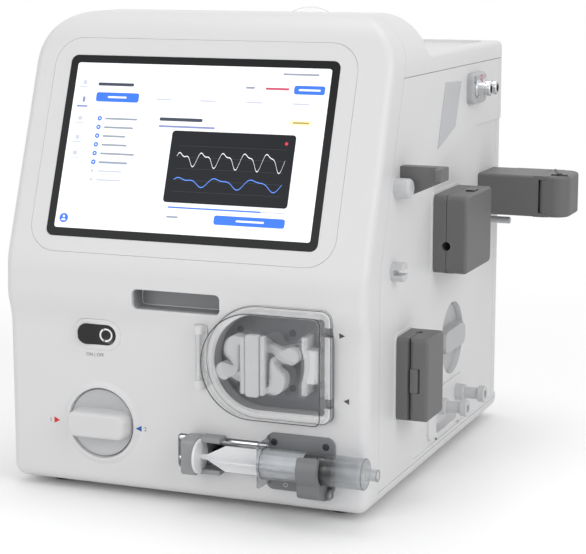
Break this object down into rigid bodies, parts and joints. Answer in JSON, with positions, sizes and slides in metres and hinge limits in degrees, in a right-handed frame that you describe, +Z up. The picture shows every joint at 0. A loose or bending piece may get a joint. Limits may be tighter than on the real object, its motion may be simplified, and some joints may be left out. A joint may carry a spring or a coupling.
{
  "type": "dialysis machine",
  "caption": "Table-top dialysis machine with leaning touch screen, roller blood pump behind a clear cover, syringe pump, side tube holders, dial and fluid ports.",
  "frame": {"origin": "middle of the footprint's bounding box, on the floor", "axes": "+X to the machine's right as seen from the front, +Y to its back, +Z up; the screen faces -Y"},
  "size_m": [0.465, 0.4753, 0.458],
  "materials": {
    "housing_white": "satin",
    "housing_grey": "matte",
    "dark_grey": "matte",
    "mid_grey": "matte",
    "light_grey": "matte",
    "pump_grey": "matte",
    "black_plastic": "satin",
    "rubber_black": "matte",
    "clear_cover": "clear",
    "clear_barrel": "clear",
    "plunger_white": "satin",
    "stopper_rubber": "matte",
    "screen_glass": "gloss",
    "display_dark": "matte",
    "steel": "brushed",
    "motor_steel": "satin",
    "tank_plastic": "matte",
    "board_green": "satin",
    "supply_metal": "satin"
  },
  "bodies": {
    "housing": {"front_shell": "housing_white", "left_panel": "housing_white", "right_panel": "housing_white", "top_cover": "housing_white", "rear_panel": "housing_white", "base_tray": "housing_white", "feet": "rubber_black", "screen_bezel": "housing_white", "display_glass": "screen_glass", "display_module": "display_dark", "switch_rim": "housing_white", "pump_base": "pump_grey", "cover_hinge": "mid_grey", "cover_pin": "steel", "segment_holder": "plunger_white", "panel_screws": "steel", "pump_motor": "motor_steel", "syringe_plate": "mid_grey", "syringe_barrel": "clear_barrel", "guide_rods": "steel", "syringe_motor": "motor_steel", "clamp_pin": "steel", "coupling_boss": "mid_grey", "fluid_couplings": "steel", "side_inlay": "housing_grey", "line_bracket": "mid_grey", "line_pegs": "dark_grey", "line_clip": "dark_grey", "detector_body": "mid_grey", "detector_pin": "steel", "clip_box_body": "mid_grey", "clip_box_pin": "steel", "holder_arm": "mid_grey", "jaw_pin": "steel", "port_plate": "mid_grey", "drain_ports": "steel", "deck_hoop": "clear_barrel", "hydraulic_unit": "tank_plastic", "power_supply": "supply_metal", "control_board": "board_green", "mains_inlet": "black_plastic"},
    "power_rocker": {"power_rocker": "black_plastic"},
    "front_knob": {"front_knob": "housing_grey"},
    "pump_cover": {"pump_cover": "clear_cover"},
    "pump_rotor": {"pump_rotor": "light_grey", "rotor_shaft": "steel", "roller_pins": "steel", "rotor_grip": "mid_grey"},
    "roller_left": {"roller_left": "dark_grey"},
    "roller_right": {"roller_right": "dark_grey"},
    "syringe_carriage": {"plunger_driver": "mid_grey", "syringe_plunger": "plunger_white", "plunger_stopper": "stopper_rubber"},
    "lead_screw": {"lead_screw": "steel"},
    "syringe_clamp": {"syringe_clamp": "mid_grey"},
    "detector_door": {"detector_door": "dark_grey"},
    "detector_latch": {"detector_latch": "black_plastic"},
    "clip_box_lid": {"clip_box_lid": "dark_grey"},
    "holder_jaw": {"holder_jaw": "dark_grey"},
    "side_dial": {"side_dial": "housing_grey"}
  },
  "joints": [
    {"name": "power_rocker_tilt", "type": "hinge", "parent": "housing", "child": "power_rocker", "pos_m": [-0.1365, -0.19535, 0.1572], "axis": [0, 0, -1], "range_deg": [0, 14]},
    {"name": "front_knob_turn", "type": "hinge", "parent": "housing", "child": "front_knob", "pos_m": [-0.1334, -0.19935, 0.0704], "axis": [0, 1, 0], "range_deg": [0, 90]},
    {"name": "pump_cover_swing", "type": "hinge", "parent": "housing", "child": "pump_cover", "pos_m": [-0.027, -0.20585, 0.1455], "axis": [0, 0, -1], "range_deg": [0, 95]},
    {"name": "pump_rotor_spin", "type": "hinge", "parent": "housing", "child": "pump_rotor", "pos_m": [0.034, -0.19935, 0.1455], "axis": [0, 1, 0], "continuous": true},
    {"name": "roller_left_spin", "type": "hinge", "parent": "pump_rotor", "child": "roller_left", "pos_m": [0.00093, -0.19935, 0.13602], "axis": [0, 1, 0], "continuous": true},
    {"name": "roller_right_spin", "type": "hinge", "parent": "pump_rotor", "child": "roller_right", "pos_m": [0.06707, -0.19935, 0.15498], "axis": [0, 1, 0], "continuous": true},
    {"name": "syringe_carriage_slide", "type": "slide", "parent": "housing", "child": "syringe_carriage", "axis": [1, 0, 0], "range_m": [-0.006, 0.034]},
    {"name": "lead_screw_turn", "type": "hinge", "parent": "housing", "child": "lead_screw", "pos_m": [-0.0475, -0.17235, 0.0537], "axis": [1, 0, 0], "range_deg": [-440, 2460]},
    {"name": "syringe_clamp_swing", "type": "hinge", "parent": "housing", "child": "syringe_clamp", "pos_m": [0.0915, -0.20835, 0.027], "axis": [1, 0, 0], "range_deg": [0, 75]},
    {"name": "detector_door_fold", "type": "hinge", "parent": "housing", "child": "detector_door", "pos_m": [0.155, 0.03965, 0.2062], "axis": [0, 1, 0], "range_deg": [0, 100]},
    {"name": "detector_latch_press", "type": "slide", "parent": "detector_door", "child": "detector_latch", "axis": [0, 0, -1], "range_m": [0, 0.0015], "stiffness_N_per_m": 300, "springref_m": -0.002},
    {"name": "clip_box_lid_swing", "type": "hinge", "parent": "housing", "child": "clip_box_lid", "pos_m": [0.1565, -0.11895, 0.12], "axis": [0, 0, -1], "range_deg": [0, 110]},
    {"name": "holder_jaw_swing", "type": "hinge", "parent": "housing", "child": "holder_jaw", "pos_m": [0.2068, 0.16165, 0.261], "axis": [0, 0, -1], "range_deg": [0, 35], "stiffness_Nm_per_rad": 0.2, "springref_deg": -17.19},
    {"name": "side_dial_turn", "type": "hinge", "parent": "housing", "child": "side_dial", "pos_m": [-0.0475, 0.06965, 0.1216], "axis": [-1, 0, 0], "range_deg": [0, 90]}
  ],
  "couplings": [
    {"joint": "lead_screw_turn", "follows": "syringe_carriage_slide", "rad_per_m": 1256.6}
  ]
}
